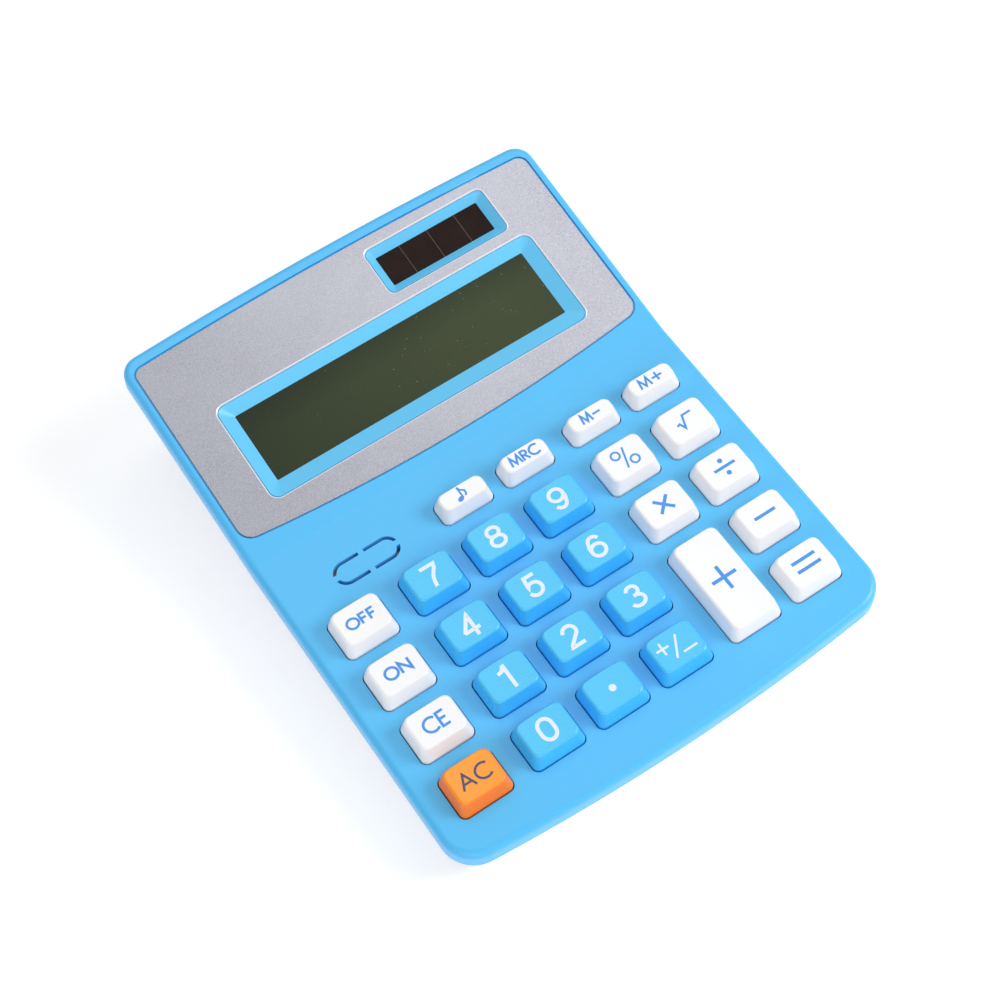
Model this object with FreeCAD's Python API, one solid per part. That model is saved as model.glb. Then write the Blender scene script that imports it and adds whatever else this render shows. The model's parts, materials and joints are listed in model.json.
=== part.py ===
import FreeCAD, Part
import math
import os

from FreeCAD import Placement, Rotation, Vector

# Desk calculator, millimetres. Two local frames are used besides the desk's:
#   panel frame    x right, y to the rear, z out of the keypad panel, y = 0 at the front row of openings
#   display frame  the same, turned up by display_tilt about the bend line, y = 0 on the bend line

# stance on the desk
panel_tilt = 4.0
panel_height = 11.6
foot_height = 0.8

# body outline
half_width = 53.5
front_end = -10.4
front_bow = 510.0
front_corner = 7.75
bend_y = 71.7
display_tilt = 9.0
rear_end = 57.7
rear_bow = 1050.0
rear_corner = 4.5
least_corner = 2.5
overrun = 12.0
case_depth = 34.0

# shells
top_wall = 2.2
side_wall = 2.0
rim_height = 4.75
edge_round = 1.6
bend_round = 9.0
case_step = 0.4
case_draft = math.tan(math.radians(17.0))
floor_wall = 1.8
lip_height = 1.4
lip_wall = 1.0
lip_gap = 0.2

# keypad
column_x = (-47.75, -30.3, -14.4, 1.5, 18.9, 34.8)
row_y = (0.0, 13.95, 27.9, 41.8, 56.65)
opening_width = 13.0
opening_depth = 10.5
small_opening_depth = 6.4
tall_opening_depth = row_y[1] + opening_depth
opening_corner = 1.7
key_gap = 0.25
key_height = 4.0
key_skirt = 0.5
key_side_inset = 0.85
key_rear_inset = 0.45
key_front_inset = 1.25
key_top_corner = 1.7
key_edge = 0.7
key_dish = 60.0
key_shell = 1.1
key_roof = 1.3
flange_reach = 0.6
flange_gap = 0.2
flange_thickness = 0.8
key_travel = 1.5
post_radius = 1.5
post_reach = 0.4

# rubber key sheet and circuit board
dome_gap = 0.05
dome_height = 2.1
dome_base = 3.2
dome_tip = 1.9
dome_wall = 0.6
pill_radius = 1.3
pill_thickness = 0.4
sheet_thickness = 0.7
sheet_rear = 64.4
board_half_width = 48.8
board_front = -4.0
board_rear = 70.0
board_corner = 8.6
board_thickness = 1.2

# display
plate_half_width = 51.2
plate_front = 3.6
plate_front_bow = 446.0
plate_front_corner = 3.4
plate_rear = 54.3
plate_rear_bow = 1046.0
plate_rear_corner = 2.2
plate_thickness = 0.5
plate_sink = 0.1
plate_groove = 0.45
recess_depth = plate_sink + plate_thickness
frame_sink = 0.35
frame_gap = 0.15
lcd_outer = (-41.1, 11.1, 41.1, 36.0)
lcd_inner = (-37.7, 15.4, 37.7, 33.1)
lcd_corner = 2.2
solar_outer = (6.7, 38.9, 38.3, 51.3)
solar_inner = (9.0, 41.4, 36.1, 49.4)
solar_corner = 1.6
inner_corner = 0.3
lcd_margin = (2.6, 4.0)
glass_thickness = 2.0
film_thickness = 0.15
solar_margin = (1.2, 1.9)
solar_thickness = 1.1
pad_thickness = 1.8
rib_wall = 1.0
rib_height = 1.6
rib_gap = 0.2
holder_thickness = 1.2
holder_reach = 4.6
holder_band = 3.4
holder_screws_at = ((-44.6, 13.0), (44.6, 13.0), (-44.6, 34.5), (44.6, 34.5))

# buzzer
slot_centre = (-32.3, 60.0)
slot_length = 15.8
slot_depth = 5.8
slot_width = 0.8
slot_bridge = 1.3
buzzer_radius = 7.5
buzzer_brass = 0.25
buzzer_ceramic_radius = 5.0
buzzer_ceramic = 0.25

# screws
case_screws_at = (
    (-32.6, -2.2, 4.4), (33.3, -2.2, 4.4),
    (-42.0, 67.2, 8.0), (42.0, 67.2, 8.0),
    (-39.5, 119.5, 14.0), (39.5, 119.5, 14.0),
)
case_shank = 0.9
case_shank_length = 5.0
case_head = 1.6
case_head_height = 1.2
case_boss = 1.9
case_tube = 2.8
case_seat = 1.2
case_clearance = 0.2
edge_screws_at = ((-26.0, -2.6), (26.0, -2.6), (-20.0, 67.0), (33.0, 67.0))
small_boss = 1.5
small_shank = 0.7
small_shank_length = 3.4
small_head = 1.4
small_head_height = 0.9
drive_depth = 0.7
drive_arm = 0.35

# battery compartment, placed in the desk frame
battery_y = 112.5
battery_radius = 7.1
battery_length = 49.2
battery_nub = 1.0
battery_rounding = 0.5
battery_nub_radius = 2.7
battery_gap = 1.2
spring_length = 3.4
spring_radius = 3.6
spring_wire = 0.4
spring_turns = 3.0
spring_gap = 0.02
contact_thickness = 0.4
contact_half_width = 5.0
box_wall = 1.4
box_gap = 0.3
box_half_opening = 14.0
saddle_z = (4.2, 9.0)
door_half_width = 26.6
door_front = 106.0
door_gap = 0.25
door_tongue = 1.3
door_tongue_z = (1.4, 2.0)
door_lip = 1.6
door_lip_half_width = 12.0
door_lip_thickness = 0.8
door_travel = 12.0
grip_grooves = 4
grip_pitch = 2.4
grip_depth = 0.5

# feet
foot_radius = 4.0
foot_inset = 0.6
feet_at = ((-37.0, 7.5), (37.0, 7.5), (-37.0, 106.0), (37.0, 106.0))

# parts on the board's underside, placed in the panel frame
resin_at = (0.0, 33.0)
resin_sphere = 12.0
resin_depth = 1.6
capacitor_at = (28.0, 61.0)
capacitor_radius = 2.0
capacitor_length = 7.0
capacitor_rounding = 0.4
capacitor_pins = 0.8
diode_at = (0.0, 61.0)
diode_radius = 0.9
diode_length = 3.6
diode_legs = 4.0
lead_radius = 0.25
lead_gap = 0.1

# wiring
wire_radius = 0.5
thin_wire_radius = 0.3
solar_leads_x = (12.0, 15.5)
solar_board_x = (36.6, 38.6)
battery_board_x = (10.0, 8.0)
buzzer_leads_x = (-1.6, 1.6)
ribbon_thickness = 0.2
ribbon_x = (-13.0, 27.0)

far = 200.0

panel_frame = Placement(Vector(0, 0, panel_height), Rotation(Vector(1, 0, 0), panel_tilt))
display_in_panel = Placement(Vector(0, bend_y, 0), Rotation(Vector(1, 0, 0), display_tilt))
display_frame = panel_frame.multiply(display_in_panel)
glass_top = -top_wall
sheet_top = -top_wall - flange_gap - flange_thickness - post_reach - dome_gap - dome_height
board_top = sheet_top - sheet_thickness
board_bottom = board_top - board_thickness


def placed(shape, frame):
    """A copy of the shape carried into the given frame."""
    copy = shape.copy()
    copy.Placement = frame.multiply(copy.Placement)
    return copy


def fused(shapes):
    first, *rest = shapes
    return first.fuse(rest).removeSplitter() if rest else first


def box(x0, y0, z0, x1, y1, z1):
    return Part.makeBox(x1 - x0, y1 - y0, z1 - z0, Vector(x0, y0, z0))


def cylinder(x, y, z0, z1, radius):
    return Part.makeCylinder(radius, z1 - z0, Vector(x, y, z0))


def end_edges(half, end, side, bow, corner):
    """One bowed end with round corners, left to right, and the y where its corners leave the sides."""
    bow_centre = Vector(0, end - side * bow, 0)
    corner_x = half - corner
    corner_y = bow_centre.y + side * math.sqrt((bow - corner) ** 2 - corner_x**2)
    edges = []
    tangents = []
    for hand in (-1, 1):
        centre = Vector(hand * corner_x, corner_y, 0)
        outward = (centre - bow_centre).normalize()
        tangent = bow_centre + outward * bow
        middle = centre + (outward + Vector(hand, 0, 0)).normalize() * corner
        edges.append(Part.Arc(Vector(hand * half, corner_y, 0), middle, tangent).toShape())
        tangents.append(tangent)
    bow_edge = Part.Arc(tangents[0], Vector(0, end, 0), tangents[1]).toShape()
    return [edges[0], bow_edge, edges[1]], corner_y


def closed(edges, z):
    wire = Part.Wire(Part.__sortEdges__(edges))
    wire.translate(Vector(0, 0, z))
    return wire


def half_outline(inset, side, z):
    """Outline of the body's front half (side -1) or rear half (side 1), run on past the bend line."""
    end, bow, corner = (
        (front_end, front_bow, front_corner) if side < 0 else (rear_end, rear_bow, rear_corner)
    )
    half = half_width - inset
    root = bend_y + overrun if side < 0 else -overrun
    corner = max(corner - inset, least_corner)
    edges, corner_y = end_edges(half, end - side * inset, side, bow - inset, corner)
    left, right = Vector(-half, root, 0), Vector(half, root, 0)
    edges.append(Part.makeLine(Vector(-half, corner_y, 0), left))
    edges.append(Part.makeLine(left, right))
    edges.append(Part.makeLine(right, Vector(half, corner_y, 0)))
    return closed(edges, z)


def bowed_plate(grow, z0, z1):
    """The faceplate's outline, grown all round, as a solid between two heights of the display frame."""
    half = plate_half_width + grow
    front, y0 = end_edges(half, plate_front - grow, -1, plate_front_bow + grow, plate_front_corner + grow)
    rear, y1 = end_edges(half, plate_rear + grow, 1, plate_rear_bow + grow, plate_rear_corner + grow)
    sides = [Part.makeLine(Vector(x, y0, 0), Vector(x, y1, 0)) for x in (-half, half)]
    return Part.Face(closed(front + rear + sides, z0)).extrude(Vector(0, 0, z1 - z0))


def bent(front, rear):
    """Joins a front half and a rear half on the plane that halves the bend."""
    mitre = Placement(Vector(0, bend_y, 0), Rotation(Vector(1, 0, 0), display_tilt / 2))
    before = placed(box(-far, -far, -far, far, 0, far), mitre)
    behind = placed(box(-far, 0, -far, far, far, far), mitre)
    rear = placed(rear, display_in_panel)
    return fused([front.common(before), rear.common(behind)])


def bent_prism(top, bottom, inset, edge=0.0):
    """The body outline between two depths below the top surface, its top edge rounded if asked."""
    halves = []
    for side in (-1, 1):
        half = Part.Face(half_outline(inset, side, bottom)).extrude(Vector(0, 0, top - bottom))
        if edge:
            root = bend_y + overrun if side < 0 else -overrun
            rim = [
                e for e in half.Edges
                if all(abs(v.Z - top) < 1e-6 for v in e.Vertexes)
                and not all(abs(v.Y - root) < 1e-6 for v in e.Vertexes)
            ]
            half = half.makeFillet(edge, rim)
        halves.append(half)
    return bent(*halves)


def bent_taper(top, bottom, inset):
    """The body outline drawn in by the case draft from one depth to a lower one."""
    low = inset + (top - bottom) * case_draft
    return bent(*[
        Part.makeLoft([half_outline(low, side, bottom), half_outline(inset, side, top)], True, True)
        for side in (-1, 1)
    ])


def rounded_wire(x0, y0, x1, y1, corner, z):
    """A rectangle with round corners."""
    edges = []
    bulge = corner * (1 - math.sqrt(0.5))
    for (xa, ya), (xb, yb), (xm, ym) in (
        ((x0, y0 + corner), (x0 + corner, y0), (x0 + bulge, y0 + bulge)),
        ((x1 - corner, y0), (x1, y0 + corner), (x1 - bulge, y0 + bulge)),
        ((x1, y1 - corner), (x1 - corner, y1), (x1 - bulge, y1 - bulge)),
        ((x0 + corner, y1), (x0, y1 - corner), (x0 + bulge, y1 - bulge)),
    ):
        if edges:
            edges.append(Part.makeLine(edges[-1].Vertexes[-1].Point, Vector(xa, ya, z)))
        edges.append(Part.Arc(Vector(xa, ya, z), Vector(xm, ym, z), Vector(xb, yb, z)).toShape())
    edges.append(Part.makeLine(edges[-1].Vertexes[-1].Point, edges[0].Vertexes[0].Point))
    return Part.Wire(edges)


def rounded_box(x0, y0, z0, x1, y1, z1, corner):
    return Part.Face(rounded_wire(x0, y0, x1, y1, corner, z0)).extrude(Vector(0, 0, z1 - z0))


def window(outer, inner, corner):
    """A sunk land and a bevel, down to a clear window, cut through the display wall."""
    foot = rounded_wire(*inner, inner_corner, -top_wall)
    rim = rounded_wire(*grown(outer, -frame_gap), corner, -frame_sink)
    slope = Part.makeLoft([foot, rim], True, True)
    x0, y0, x1, y1 = grown(outer, -frame_gap)
    mouth = rounded_box(x0, y0, -frame_sink, x1, y1, 1, corner)
    x0, y0, x1, y1 = inner
    through = rounded_box(x0, y0, -top_wall - 1, x1, y1, -top_wall, inner_corner)
    return [slope, mouth, through]


def grown(rect, margin_x, margin_y=None):
    margin_y = margin_x if margin_y is None else margin_y
    x0, y0, x1, y1 = rect
    return x0 - margin_x, y0 - margin_y, x1 + margin_x, y1 + margin_y


def rect_frame(rect, wall, z0, z1):
    """A rectangular rib standing round a rectangle."""
    x0, y0, x1, y1 = rect
    outer = grown(rect, wall)
    return box(*outer[:2], z0, *outer[2:], z1).cut(box(x0, y0, z0 - 1, x1, y1, z1 + 1))


def buzzer_slots():
    """Four thin slots that follow an obround, with a bridge between each pair."""
    x, y = slot_centre
    half_l, half_d = slot_length / 2, slot_depth / 2
    outer = rounded_box(x - half_l, y - half_d, -4, x + half_l, y + half_d, 1, half_d - 0.01)
    half_l, half_d = half_l - slot_width, half_d - slot_width
    inner = rounded_box(x - half_l, y - half_d, -5, x + half_l, y + half_d, 2, half_d - 0.01)
    ring = outer.cut(inner)
    half = slot_bridge / 2
    ends = slot_length / 2 - slot_depth / 2
    bridges = [box(x - half, y - slot_depth, -5, x + half, y + slot_depth, 2)]
    bridges.append(box(x - slot_length, y - half, -5, x - ends, y + half, 2))
    bridges.append(box(x + ends, y - half, -5, x + slot_length, y + half, 2))
    return ring.cut(fused(bridges))


def gap_x(column):
    """The middle of the wall between a column of keys and the next."""
    return (column_x[column] + opening_width + column_x[column + 1]) / 2


def gap_y(row):
    return (row_y[row] + opening_depth + row_y[row + 1]) / 2


def board_screw_places():
    """Four screws between the keys and two along each of the board's long edges."""
    inner = [(gap_x(1), gap_y(0)), (gap_x(3), gap_y(0)), (gap_x(0), gap_y(2)), (gap_x(3), gap_y(2))]
    return inner + list(edge_screws_at)


def keys_layout():
    """Every key as name: (x, y, depth of its opening), from its opening's front left corner."""
    names = (
        ("ac", "zero", "point", "sign", "plus", "equals"),
        ("ce", "one", "two", "three", None, "minus"),
        ("on", "four", "five", "six", "times", "divide"),
        ("off", "seven", "eight", "nine", "percent", "root"),
        (None, None, "sound", "memory_recall", "memory_minus", "memory_plus"),
    )
    layout = {}
    for y, row in zip(row_y, names):
        for x, name in zip(column_x, row):
            if name:
                depth = small_opening_depth if y == row_y[-1] else opening_depth
                layout[name] = (x, y, tall_opening_depth if name == "plus" else depth)
    return layout


def post_places(depth):
    """How far into its opening each post of a key stands: one post, or two under the tall key."""
    if depth == tall_opening_depth:
        return [opening_depth / 2, row_y[1] + opening_depth / 2]
    return [depth / 2]


def dome_centres():
    """One dome under each key and two under the tall one."""
    centres = []
    for x, y, depth in keys_layout().values():
        centres += [(x + opening_width / 2, y + dy) for dy in post_places(depth)]
    return centres


def key(depth):
    """A hollow key cap with its flange and posts, from its opening's front left corner."""
    x0, y0 = key_gap, key_gap
    x1, y1 = opening_width - key_gap, depth - key_gap
    corner = opening_corner - key_gap
    flange_top = -top_wall - flange_gap
    flange_bottom = flange_top - flange_thickness
    crown = (x0 + key_side_inset, y0 + key_front_inset, x1 - key_side_inset, y1 - key_rear_inset)
    cap = Part.makeLoft(
        [rounded_wire(x0, y0, x1, y1, corner, key_skirt), rounded_wire(*crown, key_top_corner, key_height)],
        True,
        True,
    )
    dish_x = (x0 + x1) / 2
    sagitta = key_dish - math.sqrt(key_dish**2 - ((crown[2] - crown[0]) / 2 - key_edge) ** 2)
    dish = Part.makeCylinder(
        key_dish, far, Vector(dish_x, -far / 2, key_height + key_dish - sagitta), Vector(0, 1, 0)
    )
    rim = [e for e in cap.Edges if all(abs(v.Z - key_height) < 1e-6 for v in e.Vertexes)]
    cap = cap.makeFillet(key_edge, rim).cut(dish)
    skirt = rounded_box(x0, y0, flange_bottom, x1, y1, key_skirt, corner)
    reach = flange_reach
    x2, y2, x3, y3 = grown((x0, y0, x1, y1), reach)
    flange = rounded_box(x2, y2, flange_bottom, x3, y3, flange_top, corner + reach)
    inside = grown(crown, -key_shell)
    hollow = Part.makeLoft(
        [
            rounded_wire(*grown((x0, y0, x1, y1), -key_shell), corner - 0.5, key_skirt),
            rounded_wire(*inside, corner - 0.5, key_height - key_roof - sagitta),
        ],
        True,
        True,
    )
    well = grown((x0, y0, x1, y1), -key_shell)
    well = rounded_box(well[0], well[1], flange_bottom - 1, well[2], well[3], key_skirt, corner - 0.5)
    body = fused([cap, skirt, flange]).cut(fused([hollow, well]))
    posts = [
        cylinder(dish_x, y, flange_bottom - post_reach, key_height - key_roof - sagitta + 0.2, post_radius)
        for y in post_places(depth)
    ]
    return fused([body] + posts)


def key_openings():
    return [
        rounded_box(x, y, -case_depth, x + opening_width, y + depth, 2, opening_corner)
        for x, y, depth in keys_layout().values()
    ]


def board_bosses(radius, top, bottom):
    return [cylinder(x, y, bottom, top, radius) for x, y in board_screw_places()]


def holder_bosses(radius, top, bottom):
    return [cylinder(x, y, bottom, top, radius) for x, y in holder_screws_at]


def upper_case():
    """Sky-blue top shell: keypad panel, display frames, buzzer slots and screw pillars, in the desk frame."""
    core = bent_prism(0, -rim_height, 0, edge_round)
    crease = [
        e for e in core.Edges
        if all(abs(v.Y - bend_y) < 1e-4 for v in e.Vertexes) and e.BoundBox.ZMax > -edge_round - 0.01
        and e.BoundBox.ZMin > -edge_round - 0.2
    ]
    core = core.makeFillet(bend_round, crease)
    shell = core.cut(bent_prism(-top_wall, -rim_height - 1, side_wall))
    holder_top = glass_top - 2 * film_thickness - glass_thickness
    display = [bowed_plate(plate_groove, -recess_depth, 1)]
    lands = [rounded_box(*r[:2], -3, *r[2:], 3, c) for r, c in (
        (grown(lcd_outer, -frame_gap), lcd_corner), (grown(solar_outer, -frame_gap), solar_corner))]
    display = [display[0].cut(fused(lands))]
    display += window(lcd_outer, lcd_inner, lcd_corner) + window(solar_outer, solar_inner, solar_corner)
    ribs = [
        rect_frame(grown(lcd_inner, lcd_margin[0] + rib_gap, lcd_margin[1] + rib_gap),
                   rib_wall, glass_top - rib_height, glass_top),
        rect_frame(grown(solar_inner, solar_margin[0] + rib_gap, solar_margin[1] + rib_gap),
                   rib_wall, glass_top - rib_height, glass_top),
    ]
    ribs += holder_bosses(small_boss + 0.3, glass_top, holder_top)
    shell = shell.fuse([placed(r, display_in_panel) for r in ribs])
    shell = shell.fuse(board_bosses(small_boss, glass_top, board_top))
    cuts = [placed(c, display_in_panel) for c in display]
    cuts += [placed(c, display_in_panel) for c in holder_bosses(small_shank, glass_top, holder_top - 1)]
    cuts += board_bosses(small_shank, glass_top, board_top - 1)
    cuts += key_openings() + [buzzer_slots()]
    shell = placed(shell.cut(cuts), panel_frame)
    reach = placed(bent_prism(-top_wall / 2, -case_depth, side_wall / 2), panel_frame)
    for x, y, joint in case_screws_at:
        pillar = cylinder(x, y, joint, case_depth, case_boss).common(reach)
        shell = shell.fuse(pillar)
    pilots = [
        cylinder(x, y, 0, joint - case_seat + case_shank_length, case_shank) for x, y, joint in case_screws_at
    ]
    shell = shell.cut(pilots)
    return shell.removeSplitter()


def lower_case():
    """White bottom shell with its locating lip, screw tubes and battery box, in the desk frame."""
    outer = placed(bent_taper(-rim_height, -case_depth, case_step), panel_frame)
    outer = outer.common(box(-far, -far, foot_height, far, far, far))
    inner = placed(bent_taper(-rim_height, -case_depth, case_step + floor_wall), panel_frame)
    inner = inner.common(box(-far, -far, foot_height + floor_wall, far, far, far))
    shell = outer.cut(inner)
    lip = bent_prism(-rim_height + lip_height, -rim_height - lip_height, side_wall + lip_gap)
    lip = lip.cut(bent_prism(0, -rim_height - 2 * lip_height, side_wall + lip_gap + lip_wall))
    lip = placed(lip, panel_frame)
    pillars = [
        cylinder(x, y, joint, case_depth, case_boss + case_clearance) for x, y, joint in case_screws_at
    ]
    shell = shell.fuse(lip.cut(pillars))
    tubes = [
        cylinder(x, y, foot_height, joint, case_tube).common(outer) for x, y, joint in case_screws_at
    ]
    shell = shell.fuse(tubes + battery_box())
    cuts = []
    for x, y, joint in case_screws_at:
        cuts.append(cylinder(x, y, 0, joint - case_seat, case_head + case_clearance))
        cuts.append(cylinder(x, y, 0, joint + 1, case_shank + case_clearance))
    cuts += [cylinder(x, y, 0, foot_height + foot_inset, foot_radius) for x, y in feet_at]
    cuts += door_space(door_gap)
    return shell.cut(cuts).removeSplitter(), outer


def battery_z():
    return foot_height + floor_wall + battery_gap + battery_radius


def battery_half():
    """Half of the room between the two contacts."""
    return (battery_length + battery_nub + spring_length) / 2


def battery_box():
    """End walls, a split front wall and a rear saddle that hold the cell and its contacts."""
    z0 = foot_height + 0.3
    top = battery_z() + 2
    inside = battery_half() + contact_thickness
    outside = inside + box_wall
    near = battery_y - battery_radius - box_gap
    rear = battery_y + battery_radius + box_gap
    walls = [box(-outside, rear, saddle_z[0], outside, rear + box_wall, saddle_z[1])]
    for hand in (-1, 1):
        x0, x1 = sorted((hand * inside, hand * outside))
        walls.append(box(x0, near - box_wall, z0, x1, rear + box_wall, top))
        x0, x1 = sorted((hand * box_half_opening, hand * outside))
        walls.append(box(x0, near - box_wall, z0, x1, near, top - battery_radius))
    return walls


def door_space(gap):
    """The door's plate and side tongues as the hole they leave (with a gap) or as solids (without)."""
    top = foot_height + floor_wall
    z0, z1 = door_tongue_z
    half = door_half_width + gap
    return [
        box(-half, door_front - gap, -1, half, far, top + 0.01 * (gap > 0)),
        box(-half - door_tongue, door_front + 2 - gap, z0 - gap, half + door_tongue, far, z1 + gap),
    ]


def battery_door(outer):
    """Sliding door: a plate cut from the floor and rear wall, with tongues, a front lip and grip grooves."""
    plate, tongues = door_space(0)
    body = fused([plate, tongues]).common(outer)
    top = foot_height + floor_wall
    lip_z = top + 0.15
    half = door_lip_half_width
    riser = box(-half, door_front, top - 0.6, half, door_front + 1.4, lip_z + door_lip_thickness)
    lip = box(-half, door_front - door_lip, lip_z, half, door_front + 1.4, lip_z + door_lip_thickness)
    grooves = []
    for i in range(grip_grooves):
        y = door_front + 5 + i * grip_pitch
        grooves.append(box(-8 + i, y, 0, 8 - i, y + grip_pitch / 2, foot_height + grip_depth))
    return fused([body, riser, lip]).cut(grooves)


def faceplate():
    """Aluminium plate with a window for the digits and one for the solar cell."""
    plate = bowed_plate(0, -recess_depth, -plate_sink)
    holes = [
        rounded_box(*lcd_outer[:2], -3, *lcd_outer[2:], 1, lcd_corner),
        rounded_box(*solar_outer[:2], -3, *solar_outer[2:], 1, solar_corner),
    ]
    return plate.cut(holes)


def display_stack():
    """Film, glass and film of the liquid crystal display, and the holder behind them."""
    glass = grown(lcd_inner, *lcd_margin)
    film = grown(lcd_inner, lcd_margin[0] - 0.8, lcd_margin[1] - 0.8)
    z0 = glass_top - film_thickness
    z1 = z0 - glass_thickness
    z2 = z1 - film_thickness
    x0, y0, x1, y1 = glass
    holder = rounded_box(x0 - holder_reach, y0 - 1, z2 - holder_thickness, x1 + holder_reach, y1 + 1, z2, 2)
    inside = grown(glass, -holder_band)
    holder = holder.cut(rounded_box(*inside[:2], z2 - 3, *inside[2:], z2 + 1, 1.5))
    holder = holder.cut(holder_bosses(small_shank + 0.15, z2 + 1, z2 - 3))
    holder = holder.cut(box(ribbon_x[0] - 1, y0 - 2, z2 - 3, ribbon_x[1] + 1, y0 + 1.5, z2 + 1))
    return {
        "front_polariser": box(*film[:2], z0, *film[2:], glass_top),
        "lcd_glass": box(x0, y0, z1, x1, y1, z0),
        "rear_reflector": box(*film[:2], z2, *film[2:], z1),
        "lcd_holder": holder,
    }


def solar_parts():
    cell = grown(solar_inner, *solar_margin)
    z0 = glass_top - solar_thickness
    pad = grown(cell, -1.5)
    return {
        "solar_cell": box(*cell[:2], z0, *cell[2:], glass_top),
        "solar_pad": box(*pad[:2], z0 - pad_thickness, *pad[2:], z0),
    }


def screw_drive(x, y, z, length):
    """A cross recess in a screw's head."""
    arm = drive_arm
    return [
        box(x - length, y - arm, z, x + length, y + arm, z + drive_depth),
        box(x - arm, y - length, z, x + arm, y + length, z + drive_depth),
    ]


def screw(x, y, seat, shank, shank_length, head, head_height):
    """A pan-head screw whose shank points up from its seat."""
    cap = cylinder(x, y, seat - head_height, seat, head)
    rim = [e for e in cap.Edges if abs(e.BoundBox.ZMax - seat + head_height) < 1e-6]
    cap = cap.makeFillet(head_height * 0.45, rim)
    body = cap.fuse(cylinder(x, y, seat, seat + shank_length, shank)).removeSplitter()
    return body.cut(screw_drive(x, y, seat - head_height - 0.01, head * 0.6))


def case_screws():
    return [
        screw(x, y, joint - case_seat, case_shank, case_shank_length, case_head, case_head_height)
        for x, y, joint in case_screws_at
    ]


def small_screws(places, seat):
    return [
        screw(x, y, seat, small_shank, small_shank_length, small_head, small_head_height) for x, y in places
    ]


def key_sheet():
    """Rubber sheet with a hollow dome, and the contact pill inside it, under each key."""
    front = board_front + 0.4
    half = board_half_width
    sheet = rounded_box(-half, front, board_top, half, sheet_rear, sheet_top, board_corner)
    domes = []
    hollows = []
    pills = []
    inner_top = sheet_top + dome_height - dome_wall
    for x, y in dome_centres():
        domes.append(Part.makeCone(dome_base, dome_tip, dome_height, Vector(x, y, sheet_top)))
        hollows.append(cylinder(x, y, board_top - 1, sheet_top, dome_base - dome_wall))
        hollows.append(Part.makeCone(
            dome_base - dome_wall, dome_tip - dome_wall, dome_height - dome_wall, Vector(x, y, sheet_top)))
        pills.append(cylinder(x, y, inner_top - pill_thickness, inner_top + dome_wall / 2, pill_radius))
    holes = board_bosses(small_boss + 0.4, 0, -case_depth)
    holes += [cylinder(x, y, -case_depth, 0, case_boss + 0.8) for x, y, _ in case_screws_at[:2]]
    return sheet.fuse(domes).cut(hollows + holes).fuse(pills).removeSplitter()


def circuit_board():
    board = rounded_box(-board_half_width, board_front, board_bottom, board_half_width, board_rear, board_top,
                        board_corner)
    holes = board_bosses(small_shank + 0.15, 0, -case_depth)
    holes += [cylinder(x, y, -case_depth, 0, case_tube + 0.6) for x, y, _ in case_screws_at[:4]]
    return board.cut(holes)


def end_rims(can):
    """The round edges at both ends of a cylinder that lies along x."""
    return [e for e in can.Edges if len(e.Vertexes) == 1 and abs(e.BoundBox.XLength) < 1e-6]


def resin_drop():
    x, y = resin_at
    reach = resin_sphere
    ball = Part.makeSphere(reach, Vector(x, y, board_bottom + reach - resin_depth))
    return ball.common(box(x - reach, y - reach, board_bottom - reach, x + reach, y + reach, board_bottom))


def capacitor():
    """A small can lying under the board, with two pins bent up from its end."""
    x, y = capacitor_at
    z = board_bottom - capacitor_radius - lead_gap
    can = Part.makeCylinder(capacitor_radius, capacitor_length, Vector(x, y, z), Vector(1, 0, 0))
    can = can.makeFillet(capacitor_rounding, end_rims(can))
    bend = x - capacitor_radius
    inside = x + lead_gap * 2
    pins = []
    for pin_y in (y - capacitor_pins, y + capacitor_pins):
        route = [Vector(inside, pin_y, z), Vector(bend, pin_y, z), Vector(bend, pin_y, board_bottom)]
        pins.append(wire(route, lead_radius))
    return fused([can] + pins)


def diode():
    """A glass diode under the board, with a leg bent up at each end."""
    x, y = diode_at
    half = diode_length / 2
    z = board_bottom - diode_radius - 3 * lead_gap
    glass = Part.makeCylinder(diode_radius, diode_length, Vector(x - half, y, z), Vector(1, 0, 0))
    legs = []
    for hand in (-1, 1):
        bend = x + hand * diode_legs
        inside = x + hand * (half - lead_gap)
        route = [Vector(inside, y, z), Vector(bend, y, z), Vector(bend, y, board_bottom)]
        legs.append(wire(route, lead_radius))
    return fused([glass] + legs)


def buzzer_disc():
    """Brass disc with its ceramic layer, glued up under the slots."""
    x, y = slot_centre
    z0 = -top_wall - buzzer_brass
    return cylinder(x, y, z0, -top_wall, buzzer_radius).fuse(
        cylinder(x, y, z0 - buzzer_ceramic, z0, buzzer_ceramic_radius)
    )


def wire(points, radius):
    """A round wire along straight runs joined by tangent arcs."""
    edges = []
    here = points[0]
    for before, corner, after in zip(points, points[1:], points[2:]):
        back = before - corner
        ahead = after - corner
        turn = math.pi - back.getAngle(ahead)
        run = 0.45 * min(back.Length, ahead.Length)
        start = corner + Vector(back).normalize() * run
        end = corner + Vector(ahead).normalize() * run
        bend_radius = run / math.tan(turn / 2)
        inward = (Vector(back).normalize() + Vector(ahead).normalize()).normalize()
        centre_reach = bend_radius / math.cos(turn / 2)
        middle = corner + inward * (centre_reach - bend_radius)
        edges.append(Part.LineSegment(here, start).toShape())
        edges.append(Part.Arc(start, middle, end).toShape())
        here = end
    edges.append(Part.LineSegment(here, points[-1]).toShape())
    path = Part.Wire(edges)
    section = Part.Wire(Part.makeCircle(radius, points[0], points[1] - points[0]))
    return path.makePipeShell([section], True, True)


def at(frame, x, y, z):
    return frame.multVec(Vector(x, y, z))


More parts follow.
